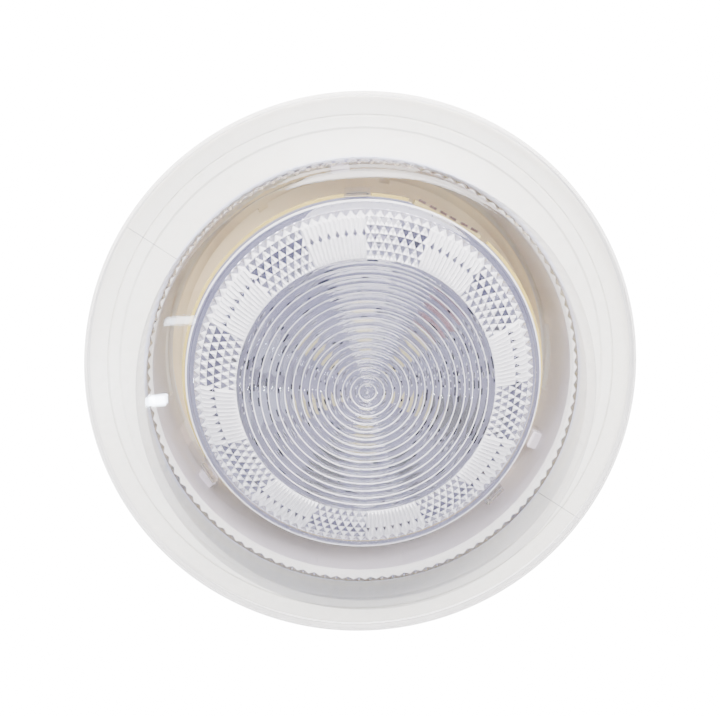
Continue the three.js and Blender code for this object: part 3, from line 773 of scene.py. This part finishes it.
def make_lens():
    materials = [LENS, PRISM_PAINTED_GLINTS, FACETS_PAINTED_SHADE, FLANGE_PAINTED_SHADE, RING_DASHES_PAINTED_SHADE]
    slot_of = {material: index for index, material in enumerate(materials)}
    bm = bmesh.new()
    outside = lens_face(lambda r: smooth_lens_height(r) - PRISM_DEPTH, RING_DEPTH, PRISM_DEPTH, PRISM_REACH)
    inside = lens_face(
        lambda r: smooth_lens_height(r) - LENS_WALL, INSIDE_RING_DEPTH, INSIDE_PRISM_DEPTH, INSIDE_PRISM_REACH
    )
    rings = lens_rings(bm, outside + lens_edge() + inside[::-1])
    shade_dashes = painted_shade_dashes()
    for index, (a, b) in enumerate(zip(rings, rings[1:])):
        row = index - RING_ROWS
        finish = row_finish(index, len(outside))
        for i in range(COLUMNS):
            j = (i + 1) % COLUMNS
            if 0 <= row < PRISM_ROWS:
                for half, (across, up) in prism_halves(a, b, i, row):
                    chosen = facet_finish(i + across / 3, row + up / 3)
                    bm.faces.new(half).material_index = slot_of[chosen]
                continue
            corners = list(dict.fromkeys([a[i], a[j], b[j], b[i]]))
            bm.faces.new(corners).material_index = slot_of[RING_DASHES_PAINTED_SHADE if (index, i) in shade_dashes else finish]
    outward_faces(bm)
    add_legs(bm)
    piece("flash_lens", bm, "base", materials, ["lens"], smooth=22)


# ---------------------------------------------------------------- circuit board

MASK_RADIUS = 38.35
SWITCH_ANGLE, SWITCH_FLAT_OUT, SWITCH_FLAT_WIDTH = 28, 37.2, 19
SMALL_PARTS = 90
SMALL_PART_FREE, SMALL_PART_STEP = 1.4, 2.6
SMALL_PART_SIZE, TINNED_END_SIZE = (1.9, 1.2, 0.6), (0.36, 1.26, 0.63)
WHOLE_FACE = ("clear_cover", "lens", "base_pan", "cover_seal", "circuit_board")


def make_board():
    bm = bmesh.new()
    profile = [
        (0, BOARD_BOTTOM),
        (BOARD_RADIUS - 0.1, BOARD_BOTTOM),
        (BOARD_RADIUS, BOARD_BOTTOM + 0.1),
        (BOARD_RADIUS, BOARD_TOP - 0.1),
        (BOARD_RADIUS - 0.1, BOARD_TOP),
        (MASK_RADIUS, BOARD_TOP),
        (0, BOARD_TOP),
    ]
    lathe(bm, profile, 240)
    tool = bmesh.new()
    add_box(tool, SWITCH_FLAT_WIDTH, 10, 4, swing(SWITCH_ANGLE, SWITCH_FLAT_OUT + 5, BOARD_BOTTOM - 1))
    for angle in LEG_ANGLES:
        add_box(tool, 5.8, 4, 4, swing(angle, 40.3, BOARD_BOTTOM - 1))
    bm = cut_with(bm, tool)
    for face in bm.faces:
        bare_margin = face.normal.z > 0.9 and distance_out(face.calc_center_median()) > MASK_RADIUS
        face.material_index = 1 if bare_margin or abs(face.normal.z) <= 0.9 else 0
    # the masked top takes the dark blue-grey of painted shade; the bare margin and edges are the laminate's
    # own colour
    piece("board", bm, "base", [MASK_PAINTED_SHADE, LAMINATE], ["circuit_board"], smooth=30)


def free_spots():
    """Random places on the board, clear of the bigger parts and of each other."""
    taken = [name for name in nodes if -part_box(name)[0].y / MM > BOARD_TOP + 0.4 and name not in WHOLE_FACE]
    boxes = [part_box(name) for name in taken]
    spots = []
    while len(spots) < SMALL_PARTS:
        radius, angle = random.uniform(3, 33), random.uniform(0, 360)
        x, z = radius * math.sin(math.radians(angle)), radius * math.cos(math.radians(angle))
        near_box = any(
            low.x / MM - SMALL_PART_FREE < x < high.x / MM + SMALL_PART_FREE
            and low.z / MM - SMALL_PART_FREE < z < high.z / MM + SMALL_PART_FREE
            for low, high in boxes
        )
        if near_box or any(math.hypot(x - a, z - b) < SMALL_PART_STEP for a, b, _ in spots):
            continue
        spots.append((x, z, random.choice((0, 90, angle))))
    return spots


def make_small_parts():
    """Chip resistors and diodes with tinned ends, scattered on the board where no bigger part stands."""
    bm = bmesh.new()
    for x, z, turn in free_spots():
        spot = Matrix.Translation((x, z, BOARD_TOP)) @ Matrix.Rotation(math.radians(turn), 4, "Z")
        soften(bm, add_box(bm, *SMALL_PART_SIZE, spot), 0.06, segments=1)
        for end in (-1, 1):
            paint(add_box(bm, *TINNED_END_SIZE, spot @ Matrix.Translation((end * 0.95, 0, 0))), 1)
    piece("board_small_parts", bm, "base", [CHIP, STEEL])


make_cover()
make_pan()
make_lens()
make_board()
make_small_parts()

# ---------------------------------------------------------------- CAD nodes that stay

FINISHES = {
    "cable_grommet": RUBBER,
    "cover_seal": SILICONE,
    # the drum's saturated tan paints bounced yellow light
    "carrier_drum": DRUM_PAINTED_GLOW,
    "horn_chamber": IVORY,
    "chamber_gasket": FOAM,
    "piezo_disc": BRASS,
    "piezo_ceramic": CERAMIC,
    "piezo_lead_red": LEAD_RED,
    "piezo_lead_black": LEAD_BLACK,
    "capacitor_1": CAN,
    "capacitor_2": CAN,
    "inductor": CHIP,
    "film_capacitor": RESIN_RED,
    "controller_chip": CHIP,
    "driver_chip": CHIP,
    "dip_switch_body": SWITCH_BODY,
    "terminal_block": TERMINAL,
}
PREFIXES = {"led_": PHOSPHOR, "dip_lever_": SWITCH_LEVER, "terminal_screw_": STEEL, "carrier_screw_": STEEL}
DRUM_BEVEL, PART_BEVEL = 0.3 * MM, 0.12 * MM


def dress(name, obj):
    material = FINISHES.get(name)
    for prefix, choice in PREFIXES.items():
        if name.startswith(prefix):
            material = choice
    if material is None:
        return
    obj.data.materials.clear()
    obj.data.materials.append(material)
    bevel = obj.modifiers.new("soft_edges", "BEVEL")
    bevel.width = DRUM_BEVEL if name == "carrier_drum" else PART_BEVEL
    bevel.segments = 2
    bevel.limit_method = "ANGLE"
    bevel.angle_limit = math.radians(40)
    obj.data.shade_smooth()
    obj.data.set_sharp_from_angle(angle=math.radians(35))


for node_name, node_object in nodes.items():
    dress(node_name, node_object)

# ---------------------------------------------------------------- floor and light

SEEN_WHITE = 17.5
ROOM_LOW, ROOM_HIGH = 0.95, 3.9
ROOM_COLOR = (0.88, 0.9, 1.0, 1)
FLOOR_SIZE = 6
FLOOR_GAP = 0.0005


def floor_white():
    """A pale floor that looks white to the eye and is duller where the object mirrors it."""
    s = Shader("floor_white")
    tone = s.ramp(s.noise(3, 2), [(0.3, (0.27, 0.27, 0.28)), (0.7, (0.3, 0.3, 0.31))])
    matte = s.node("ShaderNodeBsdfDiffuse", {"Color": tone}).outputs["BSDF"]
    glow = s.node("ShaderNodeEmission", {"Color": (1, 1, 1, 1), "Strength": SEEN_WHITE}).outputs["Emission"]
    both = s.node("ShaderNodeAddShader")
    s.tree.links.new(matte, both.inputs[0])
    s.tree.links.new(glow, both.inputs[1])
    seen = s.node("ShaderNodeLightPath").outputs["Is Camera Ray"]
    return s.surface(s.mix(seen, matte, both.outputs["Shader"]))


def make_floor():
    bm = bmesh.new()
    bmesh.ops.create_grid(bm, x_segments=1, y_segments=1, size=FLOOR_SIZE)
    mesh = bpy.data.meshes.new("floor")
    bm.to_mesh(mesh)
    bm.free()
    mesh.materials.append(floor_white())
    floor = bpy.data.objects.new("floor", mesh)
    floor.location.z = cad_low.z - FLOOR_GAP
    bpy.context.scene.collection.objects.link(floor)


def make_room():
    """A white room for the eye; for light and mirror images it is dim below and bright above."""
    world = bpy.data.worlds.new("studio")
    bpy.context.scene.world = world
    world.use_nodes = True
    tree = world.node_tree
    seen = tree.nodes["Background"]
    seen.inputs["Color"].default_value = (1, 1, 1, 1)
    seen.inputs["Strength"].default_value = SEEN_WHITE
    place = tree.nodes.new("ShaderNodeTexCoord")
    split = tree.nodes.new("ShaderNodeSeparateXYZ")
    tree.links.new(place.outputs["Generated"], split.inputs["Vector"])
    upward = tree.nodes.new("ShaderNodeMapRange")
    upward.interpolation_type = "SMOOTHSTEP"
    rise = {"From Min": -0.2, "From Max": 0.8, "To Min": ROOM_LOW, "To Max": ROOM_HIGH}
    for socket, value in rise.items():
        upward.inputs[socket].default_value = value
    tree.links.new(split.outputs["Z"], upward.inputs["Value"])
    room = tree.nodes.new("ShaderNodeBackground")
    room.inputs["Color"].default_value = ROOM_COLOR
    tree.links.new(upward.outputs["Result"], room.inputs["Strength"])
    ray = tree.nodes.new("ShaderNodeLightPath")
    blend = tree.nodes.new("ShaderNodeMixShader")
    tree.links.new(ray.outputs["Is Camera Ray"], blend.inputs["Fac"])
    tree.links.new(room.outputs["Background"], blend.inputs[1])
    tree.links.new(seen.outputs["Background"], blend.inputs[2])
    tree.links.new(blend.outputs["Shader"], tree.nodes["World Output"].inputs["Surface"])


def area_light(name, place, size, power, color, aim=(0, -0.03, 0)):
    """A rectangular lamp in metres and watts that the camera doesn't see."""
    data = bpy.data.lights.new(name, "AREA")
    data.shape = "RECTANGLE"
    data.size, data.size_y = size
    data.energy = power
    data.color = color
    light = bpy.data.objects.new(name, data)
    light.location = place
    light.rotation_mode = "QUATERNION"
    light.rotation_quaternion = (Vector(aim) - Vector(place)).to_track_quat("-Z", "Y")
    light.visible_camera = False
    bpy.context.scene.collection.objects.link(light)


WINDOW_BLUE = (0.8, 0.9, 1.0)

make_floor()
make_room()
area_light("key", (-0.02, -0.17, 0.4), (0.3, 0.26), 8.0, (1.0, 0.94, 0.88))
area_light("front", (0.15, -1.0, 0.55), (0.7, 0.5), 39, (1.0, 0.965, 0.935))
area_light("fill", (0.05, -0.9, -0.42), (0.5, 0.4), 14, (1.0, 0.97, 0.95))
# two small lamps that only show as the pale window reflections on the left of the dome
low_streak, high_streak = (-0.1069, -0.1856, -0.0382), (-0.0906, -0.194, 0.004)
area_light("streak_low", low_streak, (0.02, 0.005), 0.07, WINDOW_BLUE, aim=(-0.042, -0.046, -0.002))
area_light("streak_high", high_streak, (0.018, 0.004), 0.009, WINDOW_BLUE, aim=(-0.034, -0.0468, 0.014))

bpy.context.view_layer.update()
